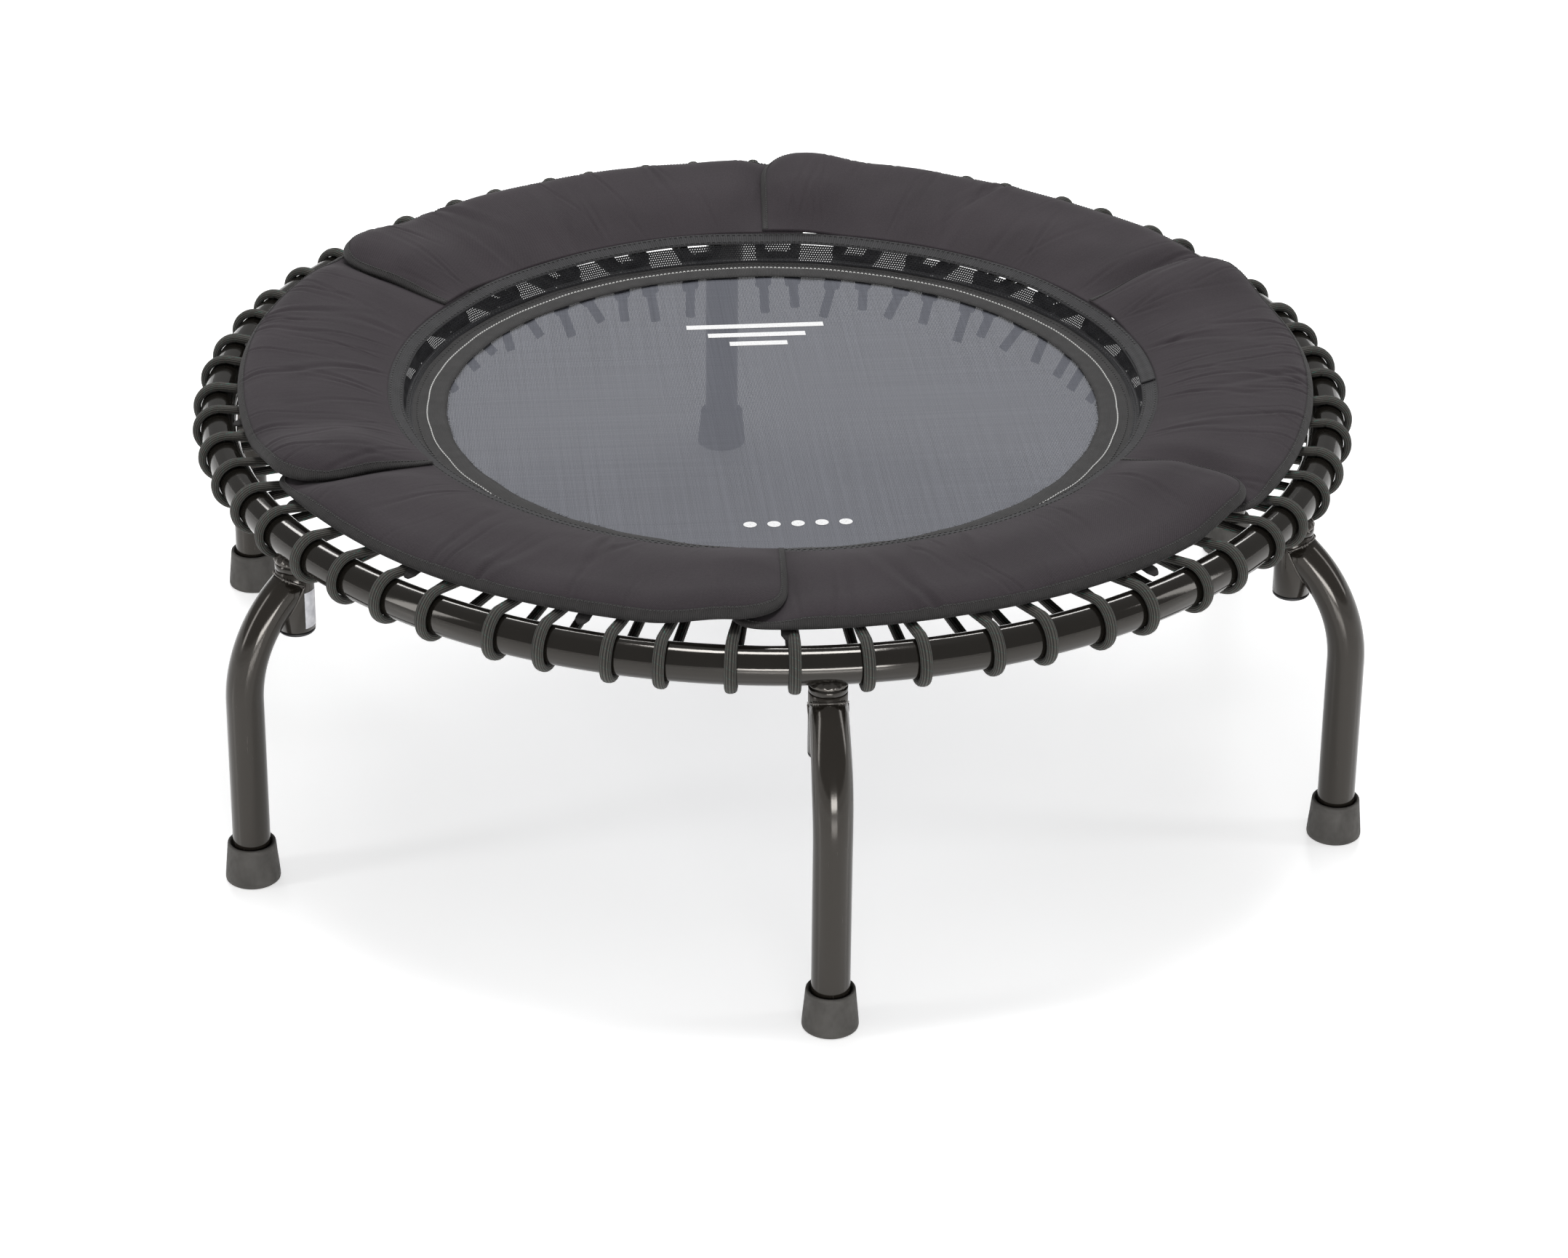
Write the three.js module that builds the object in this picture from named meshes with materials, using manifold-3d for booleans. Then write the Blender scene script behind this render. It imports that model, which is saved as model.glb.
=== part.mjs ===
// Mini trampoline: a 39 inch fitness rebounder with a tubular ring, six arched legs on rubber
// feet, a mesh mat held by thirty elastic cords, and a six petal safety pad.
// Millimetres, +Z up, origin on the floor under the middle of the mat.
import * as THREE from 'three';
import { mergeVertices } from 'three/addons/utils/BufferGeometryUtils.js';
import Module from 'manifold-3d';

const wasm = await Module();
wasm.setup();

const DEGREE = Math.PI / 180;
const GAP = 0.3;                  // left between pieces that touch

// Ring
const RING_RADIUS = 480;          // from the centre to the middle of the tube
const RING_HEIGHT = 301;          // middle of the tube above the floor
const TUBE_RADIUS = 15.9;         // 1.25 inch round tube
const TUBE_WALL = 1.6;
const COLLAR_FLOOR = 280.3;       // lower face of the collars welded under the ring

// Legs
const LEG_COUNT = 6;
const FIRST_LEG = -90;            // degrees about +Z, counted from +X
const SLEEVE_OFFSET = 482;        // axis of the upright sleeve from the centre
const SLEEVE_FLOOR = 225;
const LEG_OFFSET = 534;           // axis of the upright leg from the centre
const BEND_RADIUS = 118;
const BEND_START = 50;            // degrees of bend between the sleeve and the upright leg
const BEND_HEIGHT = 170;          // height where the leg turns upright
const BOLT_RADIUS = 4;
const BOLT_TOP = 293;

// Rubber feet
const FOOT_RADIUS = 23.2;
const FOOT_RIM_RADIUS = 20.2;
const FOOT_HEIGHT = 36;
const FOOT_SOLE = 5;

// Mat, its hem webbing and the loops that hold the cords
const MAT_RADIUS = 317;
const MAT_THICKNESS = 1.2;
const MAT_TOP = 296.2;
const WEBBING_INNER = 283.5;
const WEBBING_OUTER = 321;
const WEBBING_THICKNESS = 2;
const LOOP_OFFSET = 329;          // middle of a loop from the centre
const LOOP_HEIGHT = 297;
const LOOP_WIDTH = 17;
const LOOP_HALF = 5;
const LOOP_WALL = 1.6;

// Elastic cords: each goes twice round the ring
const CORD_COUNT = 30;
const FIRST_CORD = -84;           // degrees about +Z
const WRAP_SPREAD = 2.65;         // degrees from the cord's middle to each wrap
const CORD_THICKNESS = 6.8;
const CORD_WIDTH = 10;
const CORD_END_RADIUS = 6.5;
const CORD_BAR = 6;

// Mesh skirt, pad band and padded petals
const SKIRT_TOP = 313.5;
const SKIRT_LEAN = 2.7;           // the skirt's top edge stands this far outside its foot
const SKIRT_THICKNESS = 1;
const BAND_INNER = [321, 314.5];  // distance from the centre, height
const BAND_OUTER = [335, 319.6];
const BAND_THICKNESS = 1.6;
const PETAL_COUNT = 6;
const FIRST_PETAL = -65;          // degrees about +Z, middle of the first petal
const PETAL_INNER = 336;
const PETAL_OUTER = 464;
const PETAL_CORNER = 44;
const PETAL_END_GAP = 0.35;       // degrees left free at each end

const BLACK_STEEL = paint(0x141416, 0.3, 0.6);
const SATIN_STEEL = paint(0x1d1e20, 0.45, 0.5);
const RUBBER = paint(0x202123, 0.85, 0);
const CAP = paint(0x1a1a1c, 0.5, 0);
const MESH = paint(0x35363a, 0.8, 0);
const WEBBING = paint(0x1b1b1e, 0.85, 0);
const CORD = paint(0x2b2c31, 0.8, 0);
const PAD = paint(0x1f1a23, 0.9, 0);

function paint(color, roughness, metalness) {
  return new THREE.MeshStandardMaterial({ color, roughness, metalness });
}

// ---- solids ----

function solid(geometry) {
  const bare = new THREE.BufferGeometry();
  bare.setAttribute('position', geometry.attributes.position);
  bare.setIndex(geometry.index);
  const merged = mergeVertices(bare, 1e-3);
  const corners = [];
  for (let i = 0; i < merged.index.count; i += 3) {
    const [a, b, c] = [0, 1, 2].map((k) => merged.index.getX(i + k));
    if (a !== b && b !== c && c !== a) corners.push(a, b, c);
  }
  return new wasm.Manifold(new wasm.Mesh({
    numProp: 3,
    vertProperties: new Float32Array(merged.attributes.position.array),
    triVerts: new Uint32Array(corners),
  }));
}

function surface(body) {
  const mesh = body.getMesh();
  const geometry = new THREE.BufferGeometry();
  geometry.setAttribute('position', new THREE.BufferAttribute(mesh.vertProperties, 3));
  geometry.setIndex(new THREE.BufferAttribute(mesh.triVerts, 1));
  return geometry;
}

// A profile of [distance from the axis, height] points, anticlockwise, turned about +Z.
function turned(profile, segments) {
  const points = profile.map(([r, z]) => new THREE.Vector2(r, z));
  return new THREE.LatheGeometry(points, segments).rotateX(Math.PI / 2);
}

function turnedRing(profile, segments) {
  return turned([...profile, profile[0]], segments);
}

function upright(radius, bottom, top, sides) {
  return new THREE.CylinderGeometry(radius, radius, top - bottom, sides)
    .rotateX(Math.PI / 2).translate(0, 0, (bottom + top) / 2);
}

function torus(radius, sides) {
  return new THREE.TorusGeometry(RING_RADIUS, radius, sides, 60).translate(0, 0, RING_HEIGHT);
}

// A shape drawn in the plane of +X and +Z, made width thick and centred on y = 0.
function slab(shape, width) {
  return new THREE.ExtrudeGeometry(shape, { depth: width, bevelEnabled: false, curveSegments: 8 })
    .rotateX(Math.PI / 2).translate(0, width / 2, 0);
}

function box(x0, x1, y0, y1, z0, z1) {
  return new THREE.BoxGeometry(x1 - x0, y1 - y0, z1 - z0)
    .translate((x0 + x1) / 2, (y0 + y1) / 2, (z0 + z1) / 2);
}

// ---- ring and legs ----

function frameRing() {
  let ring = solid(torus(TUBE_RADIUS, 12));
  let holes = solid(torus(TUBE_RADIUS - TUBE_WALL, 6));
  for (let i = 0; i < LEG_COUNT; i += 1) {
    const turn = FIRST_LEG + i * 360 / LEG_COUNT;
    const place = (g) => solid(g.translate(SLEEVE_OFFSET, 0, 0).rotateZ(turn * DEGREE));
    ring = ring.add(place(upright(TUBE_RADIUS, COLLAR_FLOOR, RING_HEIGHT, 12)));
    holes = holes.add(place(upright(BOLT_RADIUS + GAP, COLLAR_FLOOR - 1, RING_HEIGHT, 8)));
  }
  return surface(ring.subtract(holes));
}

function bendPath() {
  const middle = new THREE.Vector3(LEG_OFFSET - BEND_RADIUS, 0, BEND_HEIGHT);
  const at = (angle, radius = BEND_RADIUS) => new THREE.Vector3(
    Math.cos(angle * DEGREE) * radius, 0, Math.sin(angle * DEGREE) * radius).add(middle);
  const first = at(BEND_START);
  const slope = at(BEND_START + 1).sub(first).setLength(10);
  const points = [first.clone().add(slope)];
  for (let angle = BEND_START; angle >= 0; angle -= 10) points.push(at(angle));
  points.push(new THREE.Vector3(LEG_OFFSET, 0, BEND_HEIGHT - 2));
  return new THREE.CatmullRomCurve3(points);
}

// The outside or the inside of the arched tube, down to the given height.
function archedTube(radius, sides, bottom) {
  const section = new THREE.Shape();
  for (let i = 0; i < sides; i += 1) {
    const turn = i * 2 * Math.PI / sides;
    const corner = [Math.cos(turn) * radius, Math.sin(turn) * radius];
    if (i === 0) section.moveTo(...corner);
    else section.lineTo(...corner);
  }
  const bend = new THREE.ExtrudeGeometry(section, {
    steps: 5, bevelEnabled: false, extrudePath: bendPath(),
  });
  const shank = upright(radius, bottom, BEND_HEIGHT, sides).translate(LEG_OFFSET, 0, 0);
  return solid(bend).add(solid(shank));
}

function leg() {
  const sleeveTop = COLLAR_FLOOR - GAP;
  const inside = TUBE_RADIUS - TUBE_WALL;
  const tubeFloor = FOOT_SOLE + GAP;
  const sleeve = solid(upright(TUBE_RADIUS, SLEEVE_FLOOR, sleeveTop, 16)
    .translate(SLEEVE_OFFSET, 0, 0));
  const sleeveBore = solid(upright(inside, SLEEVE_FLOOR - 1, sleeveTop + 1, 12)
    .translate(SLEEVE_OFFSET, 0, 0));
  const tubeBore = archedTube(inside, 8, tubeFloor - 1).subtract(sleeve);
  return surface(sleeve.add(archedTube(TUBE_RADIUS, 12, tubeFloor))
    .subtract(sleeveBore).subtract(tubeBore));
}

function legBolt() {
  const head = TUBE_RADIUS - GAP;
  const boss = TUBE_RADIUS - TUBE_WALL - 2 * GAP;
  const seat = SLEEVE_FLOOR - GAP;
  const profile = [
    [0, seat - 4.1], [head - 2, seat - 4.1], [head, seat - 2.5], [head, seat], [boss, seat],
    [boss, seat + 4], [BOLT_RADIUS, seat + 4], [BOLT_RADIUS, BOLT_TOP], [0, BOLT_TOP],
  ];
  return turned(profile, 12).translate(SLEEVE_OFFSET, 0, 0);
}

function rubberFoot() {
  const bore = TUBE_RADIUS + 2 * GAP;
  const profile = [
    [0, 0], [FOOT_RADIUS - 1, 0], [FOOT_RADIUS, 1.5], [FOOT_RIM_RADIUS, FOOT_HEIGHT],
    [bore + 1, FOOT_HEIGHT], [bore, FOOT_HEIGHT - 5], [bore, FOOT_SOLE], [0, FOOT_SOLE],
  ];
  return turned(profile, 16).translate(LEG_OFFSET, 0, 0);
}

// ---- mat and cords ----

function mat() {
  return upright(MAT_RADIUS, MAT_TOP - MAT_THICKNESS, MAT_TOP, 60);
}

function matWebbing() {
  const floor = MAT_TOP + GAP;
  const top = floor + WEBBING_THICKNESS;
  let webbing = solid(turnedRing([
    [WEBBING_INNER, floor], [WEBBING_OUTER, floor], [WEBBING_OUTER, top], [WEBBING_INNER, top],
  ], 60));
  for (let i = 0; i < CORD_COUNT; i += 1) {
    const turn = (FIRST_CORD + i * 360 / CORD_COUNT) * DEGREE;
    webbing = webbing.add(solid(cordLoop(floor, top).rotateZ(turn)));
  }
  return surface(webbing);
}

// A loop of webbing that the middle of a cord passes through, with the tab it is sewn by.
function cordLoop(floor, top) {
  const half = LOOP_WIDTH / 2;
  const hole = LOOP_HALF - LOOP_WALL;
  const tab = solid(box(WEBBING_OUTER - 4, LOOP_OFFSET - hole - 0.5, -half, half, floor, top));
  const outside = solid(box(LOOP_OFFSET - LOOP_HALF, LOOP_OFFSET + LOOP_HALF, -half, half,
    LOOP_HEIGHT - LOOP_HALF, LOOP_HEIGHT + LOOP_HALF));
  const inside = solid(box(LOOP_OFFSET - hole, LOOP_OFFSET + hole, -half - 1, half + 1,
    LOOP_HEIGHT - hole, LOOP_HEIGHT + hole));
  return surface(tab.add(outside).subtract(inside));
}

// Points on an arc about [x, z], from one angle to another in radians.
function arcPoints([x, z], radius, from, to, steps) {
  const at = (i) => from + (to - from) * i / steps;
  return Array.from({ length: steps + 1 }, (_, i) => new THREE.Vector2(
    x + Math.cos(at(i)) * radius, z + Math.sin(at(i)) * radius));
}

// One wrap of a cord: over the ring, round its outside and back under it to the loop.
function cordWrap() {
  const ring = [RING_RADIUS, RING_HEIGHT];
  const end = [LOOP_OFFSET, LOOP_HEIGHT];
  const inner = TUBE_RADIUS + 0.4;
  const outer = inner + CORD_THICKNESS;
  const span = Math.hypot(ring[0] - end[0], ring[1] - end[1]);
  const slope = Math.atan2(ring[1] - end[1], ring[0] - end[0]);
  const tangent = Math.acos((CORD_END_RADIUS - outer) / span);
  const shape = new THREE.Shape([
    ...arcPoints(ring, outer, slope - tangent, slope + tangent, 6),
    ...arcPoints(end, CORD_END_RADIUS, slope + tangent, slope + 2 * Math.PI - tangent, 2),
  ]);
  const steps = 4;
  const clear = inner / Math.cos(tangent / steps);
  const meet = (CORD_END_RADIUS - CORD_THICKNESS) / Math.cos(tangent);
  shape.holes.push(new THREE.Path([
    ...arcPoints(ring, clear, slope - tangent, slope + tangent, steps),
    new THREE.Vector2(end[0] + meet * Math.cos(slope), end[1] + meet * Math.sin(slope)),
  ]));
  return slab(shape, CORD_WIDTH);
}

function cord() {
  const spread = WRAP_SPREAD * DEGREE;
  const reach = LOOP_OFFSET * Math.sin(spread);
  const half = CORD_BAR / 2;
  const bar = box(LOOP_OFFSET - half, LOOP_OFFSET + half, -reach, reach,
    LOOP_HEIGHT - half, LOOP_HEIGHT + half);
  return surface(solid(cordWrap().rotateZ(spread))
    .add(solid(cordWrap().rotateZ(-spread))).add(solid(bar)));
}

// ---- skirt, band and petals ----

function meshSkirt() {
  const floor = MAT_TOP + GAP + WEBBING_THICKNESS + GAP;
  const foot = WEBBING_OUTER - 1.7;
  return turnedRing([
    [foot, floor], [foot + SKIRT_THICKNESS, floor],
    [foot + SKIRT_LEAN + SKIRT_THICKNESS, SKIRT_TOP], [foot + SKIRT_LEAN, SKIRT_TOP],
  ], 60);
}

function padBand() {
  const [[r0, z0], [r1, z1]] = [BAND_INNER, BAND_OUTER];
  const drop = BAND_THICKNESS / 2;
  return turnedRing([
    [r0 + drop / 2, z0 - drop / 2], [r1, z1 - drop], [r1 - drop / 2, z1 + drop],
    [r0 - drop / 2, z0 + drop],
  ], 60);
}

function petalOutline() {
  const halfTurn = 180 / PETAL_COUNT - PETAL_END_GAP;
  const halfLength = PETAL_OUTER * halfTurn * DEGREE;
  const rim = (turn) => {
    const into = Math.abs(turn) * DEGREE * PETAL_OUTER - (halfLength - PETAL_CORNER);
    const share = Math.min(1, Math.max(0, into / PETAL_CORNER));
    return PETAL_OUTER - PETAL_CORNER * (1 - Math.sqrt(1 - share * share));
  };
  const point = (radius, turn) => new THREE.Vector2(
    radius * Math.cos(turn * DEGREE), radius * Math.sin(turn * DEGREE));
  const points = [];
  for (let i = -6; i <= 6; i += 1) {
    const turn = halfTurn * Math.sin(i * 15 * DEGREE);
    points.push(point(rim(turn), turn));
  }
  for (let i = 4; i >= -4; i -= 1) points.push(point(PETAL_INNER - 0.4, halfTurn * i / 4));
  return new THREE.Shape(points);
}

function padPetal() {
  const cushion = turnedRing([
    [PETAL_INNER, 318.6], [PETAL_OUTER, 323], [PETAL_OUTER, 327], [455, 334], [432, 340],
    [395, 341], [362, 335], [343, 325], [PETAL_INNER, 321.8],
  ], 48);
  const outline = new THREE.ExtrudeGeometry(petalOutline(), { depth: 60, bevelEnabled: false })
    .translate(0, 0, RING_HEIGHT);
  return surface(solid(cushion).intersect(solid(outline)));
}

// ---- assembly ----

const trampoline = new THREE.Group();

function add(name, geometry, material, turn = 0) {
  const mesh = new THREE.Mesh(geometry, material);
  mesh.name = name;
  mesh.rotation.z = turn * DEGREE;
  trampoline.add(mesh);
}

add('frame_ring', frameRing(), BLACK_STEEL);

const legPieces = [
  ['leg', leg(), SATIN_STEEL], ['rubber_foot', rubberFoot(), RUBBER], ['leg_bolt', legBolt(), CAP],
];
for (const [name, geometry, material] of legPieces) {
  for (let i = 0; i < LEG_COUNT; i += 1) {
    add(`${name}_${i + 1}`, geometry, material, FIRST_LEG + i * 360 / LEG_COUNT);
  }
}

add('mat', mat(), MESH);
add('mat_webbing', matWebbing(), WEBBING);
add('mesh_skirt', meshSkirt(), MESH);
add('pad_band', padBand(), WEBBING);

const cordGeometry = cord();
for (let i = 0; i < CORD_COUNT; i += 1) {
  const name = `cord_${String(i + 1).padStart(2, '0')}`;
  add(name, cordGeometry, CORD, FIRST_CORD + i * 360 / CORD_COUNT);
}

const petalGeometry = padPetal();
for (let i = 0; i < PETAL_COUNT; i += 1) {
  add(`pad_petal_${i + 1}`, petalGeometry, PAD, FIRST_PETAL + i * 360 / PETAL_COUNT);
}

export default trampoline;
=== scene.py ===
"""Mini trampoline: the finished look of every piece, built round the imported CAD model. Metres, +Z up."""
import math

import bmesh
import bpy
import numpy as np
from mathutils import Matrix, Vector


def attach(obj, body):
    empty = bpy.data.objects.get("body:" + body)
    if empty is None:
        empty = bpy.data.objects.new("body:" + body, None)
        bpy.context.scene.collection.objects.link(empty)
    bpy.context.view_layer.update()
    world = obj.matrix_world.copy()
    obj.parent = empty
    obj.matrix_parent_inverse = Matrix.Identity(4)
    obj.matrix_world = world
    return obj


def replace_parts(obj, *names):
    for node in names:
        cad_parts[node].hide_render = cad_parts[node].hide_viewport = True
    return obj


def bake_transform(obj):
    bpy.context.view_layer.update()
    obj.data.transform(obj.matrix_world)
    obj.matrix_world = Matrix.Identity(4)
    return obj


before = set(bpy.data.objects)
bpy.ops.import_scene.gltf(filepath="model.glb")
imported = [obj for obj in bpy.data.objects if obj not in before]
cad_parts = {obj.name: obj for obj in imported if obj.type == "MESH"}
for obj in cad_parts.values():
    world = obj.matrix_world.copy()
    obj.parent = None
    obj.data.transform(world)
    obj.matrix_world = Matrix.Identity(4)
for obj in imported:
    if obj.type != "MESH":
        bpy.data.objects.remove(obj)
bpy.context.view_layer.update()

# Ring, legs and feet
RING_RADIUS = 0.480
RING_HEIGHT = 0.301
TUBE = 0.0159
LEGS = 6
SLEEVE_OFFSET = 0.482
LEG_OFFSET = 0.534
BEND_RADIUS = 0.118
BEND_ANGLE = 50
BEND_HEIGHT = 0.170
COLLAR_FLOOR = 0.2803
SLEEVE_TOP = 0.2800
SLEEVE_FLOOR = 0.2250

# Mat, hem and skirt
MAT_RADIUS = 0.317
MAT_HEIGHT = 0.2957
HEM_INNER = 0.2835
HEM_OUTER = 0.3212
HEM_TOP = 0.2985
MAT_LEAN = 0.0060
SKIRT_TOP = 0.3136
BAND_INNER = (0.3208, 0.3146)
BAND_OUTER = (0.3350, 0.3196)
WHITE_STITCH = 0.3002
BLACK_STITCHES = (0.3090, 0.3172)
SKIRT_HEM = (0.3135, 0.3168)
SKIRT_FOOT = 0.3192
SKIRT_SPREAD = 0.0028
LEAN_FADE = (0.330, 0.450)
THREAD = 0.0004
PRINT_LIFT = 0.0004

# Elastic cords
CORDS = 30
WRAP_SPREAD = 2.65
CORD_HALF_WIDTH = 0.0050
CORD_HALF_THICKNESS = 0.0034
LOOP_OFFSET = 0.3285
LOOP_HEIGHT = 0.2972
LOOP_RADIUS = 0.0056

# Padded petals
PETALS = 6
PETAL_INNER = 0.3342
PETAL_OUTER = 0.4632
PETAL_FLOOR = (0.3184, 0.3246)
PETAL_CROWN = 0.0160
PETAL_EDGE = 0.0022
PETAL_TUCK = 4.6
LAP_LIFT = 0.0088
PETAL_LAP = 1.3
PETAL_REACH = (0.0, 0.0040, 0.0010, 0.0, 0.0, 0.0010)
STRAP_TABS = (0.09, 0.39, 0.69)
PETAL_CREASES = (18, 60, 26, 30, 40, 15)
TAPE_WIDTH = 0.0045

WARM_TINT = (1.0, 0.95, 0.89, 1)
dice = np.random.default_rng(39)


def leg_angle(index):
    return math.radians(-90 + 60 * index)


def cord_angle(index):
    return math.radians(-84 + 12 * index)


def seam_angle(index):
    return math.radians(-95 + 60 * index)


# ---- materials ----

class Shader:
    """One node material, with short names for the nodes that the materials below share."""

    def __init__(self, name, color, roughness, **sockets):
        self.material = bpy.data.materials.new(name)
        self.material.use_nodes = True
        self.tree = self.material.node_tree
        self.bsdf = self.tree.nodes["Principled BSDF"]
        self.set(self.bsdf, **{"Base Color": (*color, 1), "Roughness": roughness})
        self.set(self.bsdf, **sockets)
        self.uv = self.node("ShaderNodeTexCoord").outputs["UV"]

    def node(self, kind, **settings):
        made = self.tree.nodes.new(kind)
        for key, value in settings.items():
            setattr(made, key, value)
        return made

    def set(self, node, **sockets):
        for key, value in sockets.items():
            self.put(node.inputs[key.replace("_", " ") if key not in node.inputs else key], value)

    def put(self, socket, value):
        if isinstance(value, bpy.types.NodeSocket):
            self.tree.links.new(value, socket)
        else:
            socket.default_value = value

    def math(self, operation, a, b=0.0, c=0.0):
        made = self.node("ShaderNodeMath", operation=operation)
        for socket, value in zip(made.inputs, (a, b, c)):
            self.put(socket, value)
        return made.outputs[0]

    def scaled(self, sx, sy):
        """The piece's own metres, stretched, as a vector."""
        made = self.node("ShaderNodeMapping")
        self.put(made.inputs["Vector"], self.uv)
        self.put(made.inputs["Scale"], (sx, sy, 1))
        return made.outputs[0]

    def axes(self):
        made = self.node("ShaderNodeSeparateXYZ")
        self.put(made.inputs[0], self.uv)
        return made.outputs[0], made.outputs[1]

    def noise(self, scale, detail=2.0, vector=None, roughness=0.5):
        made = self.node("ShaderNodeTexNoise")
        self.put(made.inputs["Vector"], self.uv if vector is None else vector)
        self.set(made, Scale=scale, Detail=detail, Roughness=roughness)
        return made.outputs["Fac"]

    def ridges(self, along, pitch):
        """Smooth ridges, 0 to 1, one every pitch metres of the given coordinate."""
        turn = self.math("MULTIPLY", along, 2 * math.pi / pitch)
        return self.math("MULTIPLY_ADD", self.math("SINE", turn), 0.5, 0.5)

    def ramp(self, fac, *stops):
        made = self.node("ShaderNodeValToRGB")
        self.put(made.inputs[0], fac)
        elements = made.color_ramp.elements
        while len(elements) < len(stops):
            elements.new(0.5)
        for element, (place, value) in zip(elements, stops):
            element.position = place
            element.color = (value, value, value, 1) if np.isscalar(value) else (*value, 1)
        return made.outputs[0]

    def blend(self, fac, a, b):
        made = self.node("ShaderNodeMix", data_type="RGBA")
        self.put(made.inputs["Factor"], fac)
        colors = [s for s in made.inputs if s.type == "RGBA"]
        for socket, value in zip(colors, (a, b)):
            self.put(socket, value if isinstance(value, bpy.types.NodeSocket) else (*value, 1))
        return [s for s in made.outputs if s.type == "RGBA"][0]

    def bump(self, height, strength, distance):
        made = self.node("ShaderNodeBump")
        self.set(made, Height=height, Strength=strength, Distance=distance)
        self.put(self.bsdf.inputs["Normal"], made.outputs[0])

    def color(self, value):
        self.put(self.bsdf.inputs["Base Color"], value)

    def roughness(self, value):
        self.put(self.bsdf.inputs["Roughness"], value)

    def alpha(self, value):
        self.put(self.bsdf.inputs["Alpha"], value)


def painted_steel(name, color, roughness, gloss, scratches, metal=0.0):
    s = Shader(name, color, roughness, **{"Specular IOR Level": gloss, "Metallic": metal,
                                          "Specular Tint": WARM_TINT})
    speck = s.noise(900, 3)
    scuff = s.noise(1.0, 6, s.scaled(45, 420), 0.7)
    worn = s.ramp(scuff, (0.66, 0.0), (0.72, 1.0))
    s.roughness(s.ramp(s.noise(18, 4), (0.3, roughness * 0.8), (0.75, roughness * 1.3)))
    s.color(s.blend(s.math("MULTIPLY", worn, scratches), color, (0.16, 0.15, 0.14)))
    s.bump(s.math("ADD", s.math("MULTIPLY", speck, 0.6), s.noise(140, 2)), 0.06, 0.0004)
    return s.material


def rubber():
    s = Shader("foot_rubber", (0.018, 0.018, 0.019), 0.62, **{"Specular IOR Level": 0.35})
    grime = s.ramp(s.noise(60, 5), (0.35, (0.048, 0.045, 0.041)), (0.8, (0.080, 0.076, 0.070)))
    s.color(grime)
    s.roughness(s.ramp(s.noise(220, 3), (0.3, 0.5), (0.8, 0.78)))
    s.bump(s.noise(1400, 3), 0.25, 0.0003)
    return s.material


def moulded_plastic():
    s = Shader("moulded_cap", (0.014, 0.014, 0.015), 0.42)
    s.roughness(s.ramp(s.noise(160, 3), (0.3, 0.34), (0.8, 0.52)))
    s.bump(s.noise(2200, 2), 0.2, 0.0002)
    return s.material


def cord_braid():
    """Woven ribs along the cord, a fine braid across them and a sparse teal tracer thread. The colour is
    painted darker in the grooves between ribs and lighter on their crests, as painted shade and highlight.
    """
    s = Shader("cord_braid", (0.022, 0.022, 0.024), 0.75,
               **{"Sheen Weight": 0.05, "Specular IOR Level": 0.3})
    along, round_ = s.axes()
    ribs = s.ridges(round_, 0.00185)
    braid = s.ridges(s.math("ADD", along, s.math("MULTIPLY", round_, 1.2)), 0.0016)
    height = s.math("ADD", s.math("POWER", ribs, 0.6), s.math("MULTIPLY", braid, 0.25))
    # painted shade and highlight: the colour follows the rib height, dark in the grooves and light on the
    # crests, with some random tone mixed in
    tone = s.ramp(s.math("ADD", s.math("MULTIPLY", ribs, 0.7), s.math("MULTIPLY", s.noise(500), 0.3)),
                  (0.15, (0.010, 0.0095, 0.0085)), (0.9, (0.075, 0.070, 0.061)))
    slant = s.math("ADD", along, s.math("MULTIPLY", round_, 1.9))
    tracer = s.math("GREATER_THAN", s.ridges(slant, 0.024), 0.9985)
    fleck = s.math("GREATER_THAN", ribs, 0.45)
    s.color(s.blend(s.math("MULTIPLY", tracer, fleck), tone, (0.03, 0.20, 0.15)))
    s.bump(height, 0.8, 0.0006)
    return s.material


def pad_twill():
    """Matte twill with fine diagonal lines painted darker in their grooves as shade, a little lint and slow
    shifts of tone.
    """
    s = Shader("pad_twill", (0.03, 0.025, 0.033), 0.82, **{"Sheen Weight": 0.06, "Sheen Roughness": 0.5,
                                                           "Specular IOR Level": 0.25})
    u, v = s.axes()
    twill = s.ridges(s.math("ADD", u, v), 0.0013)
    thread = s.ridges(s.math("SUBTRACT", u, v), 0.0009)
    weave = s.math("ADD", s.math("MULTIPLY", twill, 0.7), s.math("MULTIPLY", thread, 0.3))
    slow = s.math("ADD", s.math("MULTIPLY", s.noise(14, 4), 0.5), s.math("MULTIPLY", s.noise(620, 2), 0.5))
    mix = s.math("ADD", s.math("MULTIPLY", weave, 0.5), s.math("MULTIPLY", slow, 0.5))
    # painted shade: the twill lines of the weave darken the colour in their grooves, as in the bump; the
    # slow noise is random tone
    cloth = s.ramp(mix, (0.25, (0.0100, 0.0074, 0.0093)), (0.75, (0.0462, 0.0370, 0.0432)))
    lint = s.math("GREATER_THAN", s.noise(420, 2, roughness=0.8), 0.76)
    s.color(s.blend(s.math("MULTIPLY", lint, 0.35), cloth, (0.16, 0.15, 0.16)))
    crease = s.noise(1.0, 3, s.scaled(85, 13), 0.6)
    cloth_height = s.math("ADD", s.math("MULTIPLY", weave, 0.25), s.math("MULTIPLY", s.noise(320, 3), 0.4))
    s.bump(s.math("ADD", cloth_height, s.math("MULTIPLY", crease, 2.2)), 0.40, 0.0006)
    return s.material


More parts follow.
